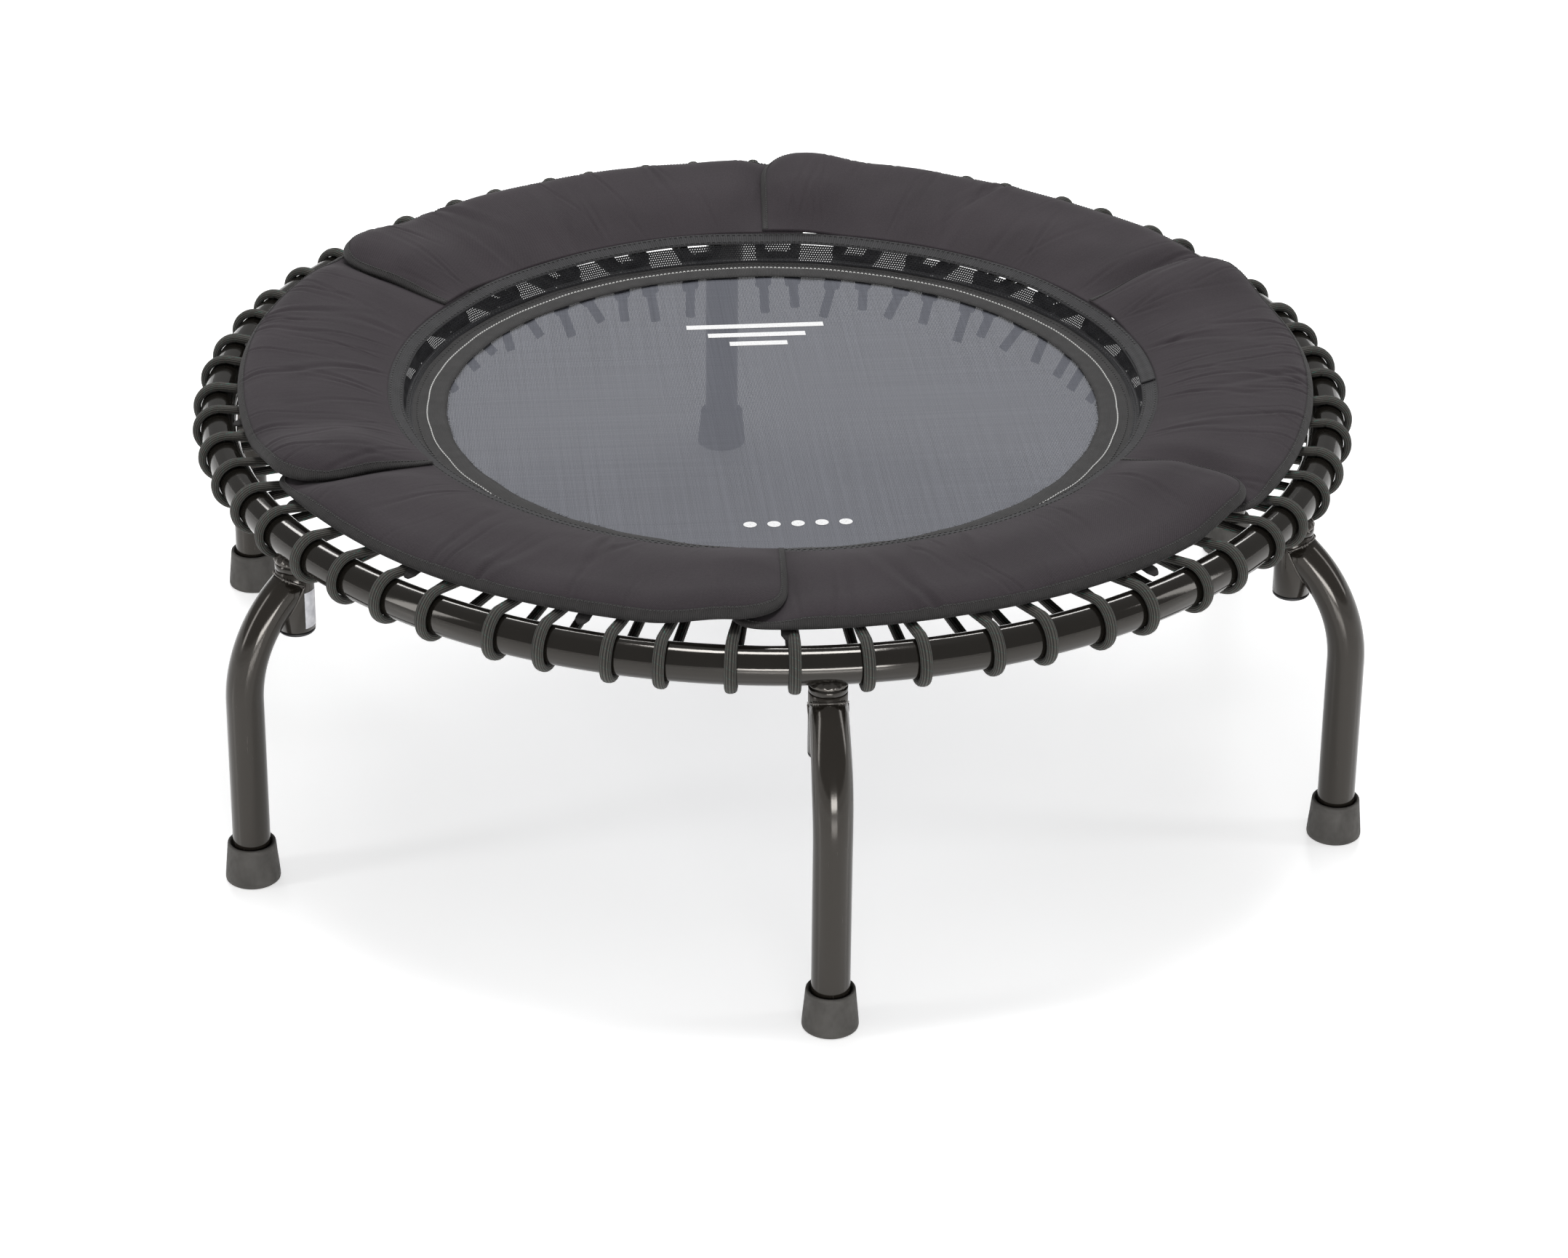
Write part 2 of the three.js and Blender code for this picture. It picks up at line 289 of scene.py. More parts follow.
def ribbed_tape(name, color, pitch, sheen=0.05, roughness=0.75, across=False):
    """Woven tape with ribs across its length, or along it, painted darker in the grooves and lighter on the
    rib tops as shade and highlight.
    """
    s = Shader(name, color, roughness, **{"Sheen Weight": sheen, "Sheen Roughness": 0.4,
                                          "Specular IOR Level": 0.3})
    u, v = s.axes()
    ribs = s.ridges(v if across else u, pitch)
    rows = s.ridges(u if across else v, pitch * 0.8)
    height = s.math("ADD", s.math("MULTIPLY", ribs, 0.8), s.math("MULTIPLY", rows, 0.3))
    # painted shade and highlight: the colour follows the rib height, dark in the grooves and light on the
    # rib tops, mixed with random tone
    tone = s.math("ADD", s.math("MULTIPLY", height, 0.55), s.math("MULTIPLY", s.noise(90, 4), 0.5))
    dark, light = tuple(c * 0.5 for c in color), tuple(c * 1.9 for c in color)
    s.color(s.ramp(tone, (0.2, dark), (0.95, light)))
    s.bump(height, 0.6, 0.0005)
    return s.material


def woven_mesh(name, color, pitch, solid, hole, roughness=0.6, skew=0.0):
    """Open weave: threads both ways, with holes between them that let light through. Where a thread passes
    over the other it is painted lighter, where it dips under darker, as painted highlight and shade.
    """
    s = Shader(name, color, roughness, **{"Specular IOR Level": 0.2})
    u, v = s.axes()
    warp = s.math("ABSOLUTE", s.math("SINE", s.math("MULTIPLY", s.math(
        "ADD", u, s.math("MULTIPLY", v, skew)), math.pi / pitch)))
    weft = s.math("ABSOLUTE", s.math("SINE", s.math("MULTIPLY", v, math.pi / pitch)))
    opening = s.math("MULTIPLY", warp, weft)
    gap = s.ramp(opening, (solid, 0.0), (min(solid + 0.25, 1.0), 1.0))
    slack_warp = s.noise(1.0, 2, s.scaled(700, 3))
    slack_weft = s.noise(1.0, 2, s.scaled(3, 700))
    slack = s.math("MULTIPLY", s.math("ADD", slack_warp, slack_weft), 0.5)
    uneven = s.ramp(slack, (0.35, 0.0), (0.65, 1.0))
    s.alpha(s.math("MULTIPLY_ADD", gap, -hole, 1.0))
    # painted highlight and shade: threads are lighter where they pass over and darker where they dip under;
    # the slack streaks are random tone
    over = s.math("MULTIPLY", s.math("SINE", s.math("MULTIPLY", u, math.pi / pitch)),
                  s.math("SINE", s.math("MULTIPLY", v, math.pi / pitch)))
    tone = s.math("ADD", s.math("MULTIPLY", uneven, 0.35), s.math("MULTIPLY_ADD", over, 0.32, 0.32))
    dark = tuple(c * 0.55 for c in color)
    light = tuple(c * 1.45 for c in color)
    s.color(s.ramp(tone, (0.0, dark), (1.0, light)))
    s.bump(opening, 0.3, 0.0004)
    return s.material


def thread(name, color):
    s = Shader(name, color, 0.6, **{"Sheen Weight": 0.2})
    u, _ = s.axes()
    s.bump(s.ridges(u, 0.0008), 0.5, 0.0002)
    s.color(s.ramp(s.noise(300, 2), (0.3, tuple(c * 0.8 for c in color)), (0.7, color)))
    return s.material


def print_ink():
    s = Shader("printed_mark", (0.78, 0.78, 0.78), 0.55)
    s.color(s.ramp(s.noise(700, 3), (0.3, (0.62, 0.62, 0.63)), (0.6, (0.82, 0.82, 0.82))))
    return s.material


def paper_label():
    s = Shader("blank_label", (0.6, 0.6, 0.62), 0.5)
    s.color(s.ramp(s.noise(120, 3), (0.3, (0.42, 0.42, 0.45)), (0.7, (0.68, 0.68, 0.70))))
    return s.material


GLOSS = painted_steel("gloss_black_steel", (0.0060, 0.0052, 0.0042), 0.10, 0.55, 0.3)
SATIN = painted_steel("satin_black_steel", (0.0125, 0.0105, 0.0085), 0.13, 0.5, 0.6)
WELD = painted_steel("weld_puddle", (0.030, 0.027, 0.024), 0.15, 0.9, 0.8, 0.25)
RUBBER = rubber()
CAP = moulded_plastic()
BRAID = cord_braid()
TWILL = pad_twill()
HEM = ribbed_tape("hem_webbing", (0.030, 0.029, 0.029), 0.0016)
BAND = ribbed_tape("pad_band_webbing", (0.026, 0.0255, 0.027), 0.0022)
TAPE = ribbed_tape("binding_tape", (0.021, 0.0195, 0.0195), 0.0017, 0.06, 0.7)
STRAP = ribbed_tape("loop_webbing", (0.014, 0.014, 0.015), 0.0018, across=True)
MESH = woven_mesh("mat_mesh", (0.100, 0.104, 0.122), 0.0014, 0.45, 0.15, 0.75)
SKIRT = woven_mesh("skirt_mesh", (0.020, 0.020, 0.022), 0.0023, 0.74, 0.85, 0.5, 0.5)
WHITE_THREAD = thread("white_thread", (0.80, 0.80, 0.78))
BLACK_THREAD = thread("black_thread", (0.020, 0.019, 0.019))
INK = print_ink()
LABEL = paper_label()


# ---- mesh parts ----

def grid_part(points, loop_u=False, loop_v=False, size=(1.0, 1.0), ends=False, material=0, uv=None):
    """Quads over a grid of points. size is its length in metres each way, which the weave follows."""
    n, m = points.shape[:2]
    rows = np.arange(n if loop_u else n - 1)
    columns = np.arange(m if loop_v else m - 1)
    a, b = (x.ravel() for x in np.meshgrid(rows, columns, indexing="ij"))
    c, d = (a + 1) % n, (b + 1) % m
    faces = np.stack([a * m + b, c * m + b, c * m + d, a * m + d], 1)
    if uv is None:
        step_u, step_v = size[0] / len(rows), size[1] / len(columns)
        uvs = np.stack([a * step_u, b * step_v, (a + 1) * step_u, b * step_v,
                        (a + 1) * step_u, (b + 1) * step_v, a * step_u, (b + 1) * step_v], 1)
        uvs = uvs.reshape(-1, 2)
    else:
        uvs = uv.reshape(-1, 2)[faces.ravel()]
    faces = faces.tolist()
    if ends:
        faces += [list(range(m)), [(n - 1) * m + k for k in range(m)]]
        uvs = np.vstack([uvs, np.zeros((2 * m, 2))])
    return {"points": points.reshape(-1, 3), "faces": faces, "uvs": uvs, "material": material}


def disc_part(points):
    """Rings of points round a centre, with one face closing the innermost ring."""
    part = grid_part(points, loop_v=True, uv=points[:, :, :2])
    part["faces"].append(list(range(points.shape[1])))
    part["uvs"] = np.vstack([part["uvs"], points[0, :, :2]])
    return part


def turned_about_z(part, angle):
    c, s = math.cos(angle), math.sin(angle)
    spin = np.array([[c, s, 0], [-s, c, 0], [0, 0, 1]])
    return {**part, "points": part["points"] @ spin}


def piece(name, parts, *materials, closed=True):
    """One object from mesh parts, smooth shaded, its faces pointing out."""
    points, faces, uvs, slots, first = [], [], [], [], 0
    for part in parts:
        points.append(part["points"])
        faces += [[k + first for k in face] for face in part["faces"]]
        uvs.append(part["uvs"])
        slots += [part["material"]] * len(part["faces"])
        first += len(part["points"])
    mesh = bpy.data.meshes.new(name)
    mesh.from_pydata(np.vstack(points).tolist(), [], faces)
    layer = mesh.uv_layers.new(name="UVMap")
    layer.data.foreach_set("uv", np.vstack(uvs).astype(np.float32).ravel())
    for material in materials:
        mesh.materials.append(material)
    mesh.polygons.foreach_set("material_index", slots)
    mesh.polygons.foreach_set("use_smooth", [True] * len(mesh.polygons))
    if closed:
        edit = bmesh.new()
        edit.from_mesh(mesh)
        bmesh.ops.recalc_face_normals(edit, faces=edit.faces)
        edit.to_mesh(mesh)
        edit.free()
    mesh.update()
    made = bpy.data.objects.new(name, mesh)
    bpy.context.scene.collection.objects.link(made)
    return made


def lean(made):
    """The mat and the pads' inner edge sit a little higher at the front than at the back."""
    flat = np.zeros(len(made.data.vertices) * 3)
    made.data.vertices.foreach_get("co", flat)
    points = flat.reshape(-1, 3)
    follows = 1 - smoothstep(np.hypot(points[:, 0], points[:, 1]), *LEAN_FADE)
    points[:, 2] -= MAT_LEAN * points[:, 1] / HEM_OUTER * follows
    made.data.vertices.foreach_set("co", points.ravel())
    made.data.update()
    return made


def unit(vectors):
    return vectors / np.maximum(np.linalg.norm(vectors, axis=-1, keepdims=True), 1e-12)


def smoothstep(x, low=0.0, high=1.0):
    t = np.clip((x - low) / (high - low), 0, 1)
    return t * t * (3 - 2 * t)


def revolve(profile, turns, centre=0.0, **options):
    """A profile of (radius, height) points turned round an upright axis that stands at x = centre."""
    profile = np.asarray(profile, float)
    radius, height = profile[:, 0], profile[:, 1]
    points = np.stack([centre + np.cos(turns)[:, None] * radius,
                       np.sin(turns)[:, None] * radius,
                       np.ones(len(turns))[:, None] * height], -1)
    girth = np.linalg.norm(np.diff(profile, axis=0), axis=1).sum()
    size = (2 * math.pi * radius.max(), girth)
    return grid_part(points, loop_u=True, size=size, **options)


def full_turn(count):
    return np.linspace(0, 2 * math.pi, count, endpoint=False)


def sweep(path, across, half_width, half_height, sides=14, loop=False, square=1.0, **options):
    """A tube with an oval section along a path. across is the direction of its width."""
    path = np.asarray(path, float)
    ahead = np.roll(path, -1, 0) - np.roll(path, 1, 0) if loop else np.gradient(path, axis=0)
    tangent = unit(ahead)
    across = np.broadcast_to(np.asarray(across, float), path.shape)
    across = unit(across - (across * tangent).sum(1, keepdims=True) * tangent)
    rise = np.cross(tangent, across)
    turn = full_turn(sides)
    shape = lambda wave: np.sign(wave) * np.abs(wave) ** square
    wide = np.broadcast_to(half_width, len(path))[:, None, None]
    high = np.broadcast_to(half_height, len(path))[:, None, None]
    points = (path[:, None] + across[:, None] * wide * shape(np.cos(turn))[None, :, None]
              + rise[:, None] * high * shape(np.sin(turn))[None, :, None])
    length = np.linalg.norm(np.diff(path, axis=0), axis=1).sum()
    girth = 2 * math.pi * float(np.mean(wide + high)) / 2
    return grid_part(points, loop_u=loop, loop_v=True, size=(length, girth), ends=not loop, **options)


def smooth_path(points, per_span=6):
    """A Catmull-Rom curve through the points."""
    p = np.asarray(points, float)
    p = np.vstack([2 * p[0] - p[1], p, 2 * p[-1] - p[-2]])
    t = np.linspace(0, 1, per_span, endpoint=False)[:, None]
    spans = [0.5 * (2 * p[i] + (p[i + 1] - p[i - 1]) * t
                    + (2 * p[i - 1] - 5 * p[i] + 4 * p[i + 1] - p[i + 2]) * t ** 2
                    + (3 * p[i] - p[i - 1] - 3 * p[i + 1] + p[i + 2]) * t ** 3)
             for i in range(1, len(p) - 2)]
    return np.vstack(spans + [p[-2:-1]])


def carried_sides(path, start):
    """The width direction carried along a path without twist."""
    tangent = unit(np.gradient(path, axis=0))
    side = np.zeros_like(path)
    side[0] = start
    for k in range(1, len(path)):
        moved = side[k - 1] - (side[k - 1] @ tangent[k]) * tangent[k]
        side[k] = moved / max(np.linalg.norm(moved), 1e-9)
    return side


def stitches(path, up, pitch, share=0.62, radius=THREAD, material=0):
    """A row of thread dashes lying on a path, each sinking into the cloth at its ends."""
    path = np.asarray(path, float)
    steps = np.linalg.norm(np.diff(path, axis=0), axis=1)
    along = np.concatenate([[0], np.cumsum(steps)])
    at = lambda s: np.stack([np.interp(s, along, path[:, k]) for k in range(3)], -1)
    up = np.broadcast_to(np.asarray(up, float), path.shape)
    up_at = lambda s: np.stack([np.interp(s, along, up[:, k]) for k in range(3)], -1)
    parts = []
    for k in range(int(along[-1] / pitch)):
        s = (k + np.linspace(0.5 - share / 2, 0.5 + share / 2, 4)) * pitch
        lift = np.array([-0.6, 0.9, 0.9, -0.6])[:, None] * radius
        line = at(s) + up_at(s) * lift
        parts.append(sweep(line, np.cross(up_at(s), np.gradient(line, axis=0)), radius * 1.3, radius,
                           sides=6, material=material))
    return parts


def waves(turns, counts, low, high):
    """A slow irregular wobble round a ring, from a few seeded waves."""
    total = np.zeros_like(turns)
    for count in counts:
        total = total + dice.uniform(low, high) * np.sin(count * turns + dice.uniform(0, 2 * math.pi))
    return total


# ---- ring and legs ----

def bead(path, radius, ripple=0.0026):
    """A weld bead: a lumpy tube along a closed path."""
    path = np.asarray(path, float)
    steps = np.linalg.norm(np.roll(path, -1, 0) - path, axis=1)
    along = np.concatenate([[0], np.cumsum(steps)[:-1]])
    scallop = 0.5 + 0.5 * np.cos(2 * math.pi * along / ripple)
    lumps = 1 + 0.16 * scallop + 0.13 * np.sin(along / 0.011 + 1.3) + 0.10 * np.sin(along / 0.0047)
    return sweep(path, (0, 0, 1), radius * lumps, radius * lumps, sides=12, loop=True)


def weld_shoulder():
    """The puddled weld that joins a collar to the ring: a low dome with lumps and craters."""
    turns = full_turn(96)
    profile = np.array([(15.9, 286.4), (16.2, 287.6), (15.9, 289.0), (14.9, 290.4), (13.3, 291.8),
                        (11.0, 293.0), (8.0, 293.8), (4.0, 294.2), (4.0, 286.4)]) / 1000
    part = revolve(profile, turns, loop_v=True)
    x, y, z = part["points"].T
    phase = dice.uniform(0, 2 * math.pi, 6)
    turn = np.arctan2(y, x)
    lumps = (np.sin(7 * turn + phase[0]) + 0.8 * np.sin(12 * turn + 500 * z + phase[1])
             + 0.7 * np.sin(19 * turn - 900 * z + phase[2]) + 0.6 * np.sin(430 * x + phase[3])
             * np.sin(510 * y + phase[4])) / 3.1
    swell = smoothstep(z, 0.2864, 0.2880)
    reach = 1 + 0.055 * lumps * swell
    part["points"] = np.stack([x * reach + SLEEVE_OFFSET, y * reach, z + 0.0009 * lumps * swell], 1)
    return {**part, "material": 1}


def build_ring():
    turns = full_turn(384)
    section = full_turn(40)
    profile = np.stack([RING_RADIUS + TUBE * np.cos(section), RING_HEIGHT + TUBE * np.sin(section)], 1)
    tube = revolve(profile, turns, loop_v=True)
    made = piece("ring_tube", [tube], GLOSS)
    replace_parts(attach(made, "frame"), "frame_ring")
    profile = [(0.0046, COLLAR_FLOOR), (TUBE - 0.0006, COLLAR_FLOOR), (TUBE, COLLAR_FLOOR + 0.0006),
               (TUBE, 0.2868), (0.0046, 0.2868)]
    collar = revolve(profile, full_turn(48), centre=SLEEVE_OFFSET, loop_v=True)
    for i in range(LEGS):
        parts = [turned_about_z(part, leg_angle(i)) for part in (collar, weld_shoulder())]
        made = piece(f"ring_collar_{i + 1}", parts, GLOSS, WELD)
        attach(made, "frame")


def leg_path():
    arc = np.radians(np.linspace(BEND_ANGLE, 0, 26))
    bend = np.stack([LEG_OFFSET - BEND_RADIUS + BEND_RADIUS * np.cos(arc), 0 * arc,
                     BEND_HEIGHT + BEND_RADIUS * np.sin(arc)], 1)
    back = unit(bend[0] - bend[1]) * 0.010
    shank = [(LEG_OFFSET, 0, z) for z in np.linspace(BEND_HEIGHT - 0.008, 0.0062, 18)]
    return np.vstack([bend[0] + back, bend, shank])


def joint_seam(phi):
    """Points where the arched tube meets the outside of the sleeve, at the angles phi round the tube."""
    path = leg_path()
    start, along = path[0], unit(path[1] - path[0])
    rise = np.array([-along[2], 0, along[0]])
    reach = SLEEVE_OFFSET + TUBE * np.abs(np.cos(phi))
    travel = (reach - start[0] - TUBE * np.cos(phi) * rise[0]) / along[0]
    points = start + travel[:, None] * along + TUBE * np.cos(phi)[:, None] * rise
    points[:, 1] = TUBE * np.sin(phi)
    return points


def joint_weld():
    """A thin bead round the joint, with a few proud blobs near its top."""
    parts = [bead(joint_seam(full_turn(132)), 0.0010, 0.0024)]
    for middle, half in ((0.62, 0.26), (-0.70, 0.20)):
        line = joint_seam(np.linspace(middle - half, middle + half, 26))
        swell = 0.0009 + 0.0013 * np.abs(np.sin(np.linspace(0, 3 * math.pi, 26))) ** 0.7
        parts.append(sweep(line, (0, 0, 1), swell, swell, sides=12))
    return [{**part, "material": 1} for part in parts]


def build_legs():
    path = leg_path()
    ovality = 1 - 0.035 * np.exp(-((np.arange(len(path)) - 14) / 8) ** 2)
    tube = sweep(path, (0, 1, 0), TUBE * (2 - ovality), TUBE * ovality, sides=44)
    edge = 0.0008
    sleeve = revolve([(TUBE - 0.0016, SLEEVE_TOP), (TUBE - edge, SLEEVE_TOP), (TUBE, SLEEVE_TOP - edge),
                      (TUBE, SLEEVE_FLOOR + edge), (TUBE - edge, SLEEVE_FLOOR),
                      (TUBE - 0.0016, SLEEVE_FLOOR)], full_turn(48), centre=SLEEVE_OFFSET, loop_v=True)
    parts = [tube, sleeve] + joint_weld()
    for i in range(LEGS):
        made = piece(f"arched_leg_{i + 1}", [turned_about_z(p, leg_angle(i)) for p in parts], SATIN, WELD)
        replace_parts(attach(made, "frame"), f"leg_{i + 1}")


def build_feet():
    profile = np.array([(0.2, 0), (19.6, 0), (21.8, 0.3), (22.9, 1.2), (23.2, 2.6), (23.0, 6), (22.3, 14),
                        (21.4, 23), (20.8, 30), (20.5, 33.4), (20.2, 35.1), (19.5, 35.9), (18.7, 36),
                        (17.9, 35.4), (17.5, 33.6), (16.9, 31.2), (16.3, 29.5), (16.2, 20), (16.2, 6),
                        (0.2, 6)]) / 1000
    foot = revolve(profile, full_turn(64), centre=LEG_OFFSET, loop_v=True)
    for i in range(LEGS):
        made = piece(f"foot_cup_{i + 1}", [turned_about_z(foot, leg_angle(i))], RUBBER)
        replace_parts(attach(made, "frame"), f"rubber_foot_{i + 1}")


def build_sleeve_caps():
    seat = SLEEVE_FLOOR - 0.0003
    profile = np.array([(3.4, 0.4), (3.4, -3.6), (4.6, -4.1), (6.0, -3.4), (7.0, -3.2), (12.6, -3.2),
                        (14.6, -2.8), (15.6, -1.7), (15.7, -0.6), (15.2, 0), (14.0, 0.2), (14.0, 3.8),
                        (4.0, 3.8)]) / 1000
    profile[:, 1] += seat
    cap = revolve(profile, full_turn(48), centre=SLEEVE_OFFSET, loop_v=True)
    for i in range(LEGS):
        made = piece(f"sleeve_cap_{i + 1}", [turned_about_z(cap, leg_angle(i))], CAP)
        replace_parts(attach(made, "frame"), f"leg_bolt_{i + 1}")


def build_label():
    """A blank label on the sleeve of the front left leg."""
    turns = np.radians(np.linspace(-62, -8, 14)) - leg_angle(5)
    heights = np.linspace(0.2290, 0.2620, 8)
    radius = TUBE + 0.00025
    points = np.stack([SLEEVE_OFFSET + radius * np.cos(turns)[:, None] * np.ones(8),
                       radius * np.sin(turns)[:, None] * np.ones(8),
                       np.ones(14)[:, None] * heights], -1)
    made = piece("blank_label", [turned_about_z(grid_part(points, size=(0.015, 0.033)), leg_angle(5))],
                 LABEL, closed=False)
    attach(made, "frame")


# ---- pieces that run between the frame and the mat ----

def bend_by_radius(made):
    """Bakes the piece's transform into its mesh and reads its points; it does not bend the piece."""
    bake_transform(made)
    flat = np.zeros(len(made.data.vertices) * 3)
    made.data.vertices.foreach_get("co", flat)


def wrap_path(spread, ring_drift):
    """One wrap, from under the hem, round the ring and back to the hem, as (radius, turn, height)."""
    rho = TUBE + CORD_HALF_THICKNESS + 0.0002
    low = np.array([LOOP_OFFSET + 0.0055, LOOP_HEIGHT - 0.0044])
    high = np.array([LOOP_OFFSET + 0.0095, LOOP_HEIGHT + 0.0034])
    centre = np.array([RING_RADIUS, RING_HEIGHT])

    def tangent_angle(point, sign):
        away = point - centre
        return math.atan2(away[1], away[0]) - sign * math.acos(rho / np.hypot(*away))

    first = tangent_angle(low, -1)
    last = tangent_angle(high, 1)
    first = first - 2 * math.pi if first > 0 else first
    last = last + 2 * math.pi if last < 0 else last
    arc = np.linspace(first, last, 26)
    around = centre + rho * np.stack([np.cos(arc), np.sin(arc)], 1)
    straight = lambda a, b: a + (b - a) * np.linspace(0, 1, 7)[:-1, None]
    profile = np.vstack([straight(low, around[0]), around, straight(high, around[-1])[::-1]])
    drift = smoothstep(profile[:, 0], 0.36, 0.47) * ring_drift
    return np.column_stack([profile[:, 0], spread + drift, profile[:, 1]])


def knot(centre, along, size):
    """Two tight turns of the cord round itself."""
    across = unit(np.cross(along, (0.3, 0.2, 1)))
    third = np.cross(along, across)
    turn = np.linspace(0, 4 * math.pi, 40)[:, None]
    path = (centre + size * (across * np.cos(turn) + third * np.sin(turn))
            + along * 0.0042 * (turn / (2 * math.pi) - 1))
    return sweep(path, np.broadcast_to(along, path.shape), 0.0036, 0.0030, sides=10)


def tail_points(side, sway, length):
    """The loose end behind the hem: inward and down from the knot, with a little lean."""
    droop = math.radians(46 + sway[0])
    return [(LOOP_OFFSET - 0.004 - length * t * math.cos(droop), side * (0.0135 + sway[1] * t),
             LOOP_HEIGHT - 0.0110 - length * t * math.sin(droop)) for t in (1.0, 0.6, 0.25)]


def upright(path):
    """(radius, turn, height) points as x, y and z."""
    radius, turn, height = path.T
    return np.stack([radius * np.cos(turn), radius * np.sin(turn), height], 1)


def build_cord(index):
    spread = math.radians(WRAP_SPREAD)
    drift = np.radians(dice.uniform(-0.55, 0.55, 2))
    left = wrap_path(-spread, drift[0])
    right = wrap_path(spread, drift[1])[::-1]
    left, right = upright(left), upright(right)
    sway = dice.uniform((-10, -0.003, -10, -0.003), (14, 0.006, 14, 0.006))
    longest_at = math.radians(65)
    length = dice.uniform(0.026, 0.036, 2) + 0.010 * max(0.0, math.cos(cord_angle(index) - longest_at))
    tail_a = np.array(tail_points(-1, sway[:2], length[0]))
    tail_b = np.array(tail_points(1, sway[2:], length[1]))[::-1]
    bar = [(LOOP_OFFSET + out, y, LOOP_HEIGHT + up) for out, y, up in (
        (0.0033, -0.0118, 0.0018), (0, -0.0075, 0.0004), (0, 0, 0), (0, 0.0075, 0.0004),
        (0.0033, 0.0118, 0.0018))]
    under = lambda side: [(LOOP_OFFSET - 0.002, side * 0.0140, LOOP_HEIGHT - 0.0087)]
    path = smooth_path(np.vstack([tail_a, under(-1), left, bar, right, under(1), tail_b]), 2)
    reach = np.hypot(path[:, 0], path[:, 1])
    flat = smoothstep(reach, 0.43, 0.475)
    width = 0.0043 + (CORD_HALF_WIDTH - 0.0043) * flat
    thickness = 0.0037 + (CORD_HALF_THICKNESS - 0.0037) * flat
    at_loop = (reach < LOOP_OFFSET + 0.0115) * (path[:, 2] > LOOP_HEIGHT - 0.007)
    through_loop = np.exp(-(path[:, 1] / 0.0095) ** 2) * at_loop
    width, thickness = width - 0.0010 * through_loop, thickness - 0.0006 * through_loop
    sides = carried_sides(path, np.array([0.0, 1.0, 0.0]))
    parts = [sweep(path, sides, width, thickness, sides=14, square=0.86)]
    for tail in (tail_a[::-1], tail_b):
        along = unit(tail[1] - tail[0])
        parts.append(knot(tail[0] + np.array([0, 0, 0.0005]), along, 0.0048))
    turned = [turned_about_z(part, cord_angle(index)) for part in parts]
    made = lean(piece(f"elastic_cord_{index + 1:02d}", turned, BRAID))
    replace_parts(made, f"cord_{index + 1:02d}")
    bend_by_radius(made)


# ---- mat, hem, skirt and band ----

MAT_WAVES = [(count, dice.uniform(0.0001, 0.0003), dice.uniform(0, 2 * math.pi))
             for count in (15, 30, 31, 17)]


def mat_height(radius, turn):
    """The mat sinks a little in the middle and is drawn up between the cords near the hem."""
    pull = sum(depth * np.sin(count * turn + phase) for count, depth, phase in MAT_WAVES)
    inside = smoothstep(radius, 0.2, HEM_INNER)
    near_hem = inside * (1 - smoothstep(radius, HEM_INNER, HEM_INNER + 0.02))
    return MAT_HEIGHT - 0.0016 * (1 - (radius / MAT_RADIUS) ** 2) + pull * near_hem


def build_mat():
    radii = np.concatenate([[0.004], np.linspace(0.02, MAT_RADIUS, 40)])
    turns = full_turn(240)
    radius, turn = np.meshgrid(radii, turns, indexing="ij")
    points = np.stack([radius * np.cos(turn), radius * np.sin(turn), mat_height(radius, turn)], -1)
    made = lean(piece("mesh_mat", [disc_part(points)], MESH, closed=False))
    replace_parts(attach(made, "jumping_mat"), "mat")


def tape_ring(inner, outer, thickness, turns, wobble, lift):
    """A flat or coned ring of tape between two (radius, height) edges."""
    inner, outer = np.array(inner), np.array(outer)
    along = unit(outer - inner)
    rise = np.array([-along[1], along[0]])
    share = np.concatenate([np.linspace(0, 1, 9), np.linspace(1, 0, 9)])
    side = np.concatenate([np.ones(9), -np.ones(9)])
    soft = np.minimum(1, np.minimum(share, 1 - share) * 9 + 0.25)
    profile = inner + (outer - inner) * share[:, None] + rise * (side * soft * thickness / 2)[:, None]
    radius = profile[:, 0] + wobble[:, None]
    height = profile[:, 1] + lift[:, None]
    points = np.stack([np.cos(turns)[:, None] * radius, np.sin(turns)[:, None] * radius, height], -1)
    girth = 2 * np.hypot(*(outer - inner))
    return grid_part(points, loop_u=True, loop_v=True, size=(2 * math.pi * outer[0], girth))


def ring_line(radius, height, turns):
    return np.stack([np.cos(turns) * radius, np.sin(turns) * radius,
                     np.broadcast_to(height, turns.shape)], 1)


def scallop(turns, depth):
    """The hem is drawn outward at each cord."""
    return depth * (np.abs(np.cos(CORDS / 2 * (turns - cord_angle(0)))) - 0.6)


def frayed_edge(turns, inner):
    """Short loose yarns along the cut inner edge of the hem."""
    parts = []
    for _ in range(620):
        turn = dice.uniform(0, 2 * math.pi)
        lean, length = dice.uniform(-0.6, 0.6), dice.uniform(0.0008, 0.0026)
        root = np.interp(turn, turns, inner, period=2 * math.pi) + 0.0010
        reach = np.array([0, 0.5, 1.0]) * length
        radius = root - reach - 0.0004
        angle = turn + lean * reach ** 1.5 / math.sqrt(length) / root
        height = HEM_TOP - 0.0008 + dice.uniform(-0.0004, 0.0006) * np.array([0, 0.6, 1.0])
        line = np.stack([radius * np.cos(angle), radius * np.sin(angle), height], 1)
        parts.append(sweep(line, (0, 0, 1), 0.00016, 0.00016, sides=4))
    return parts


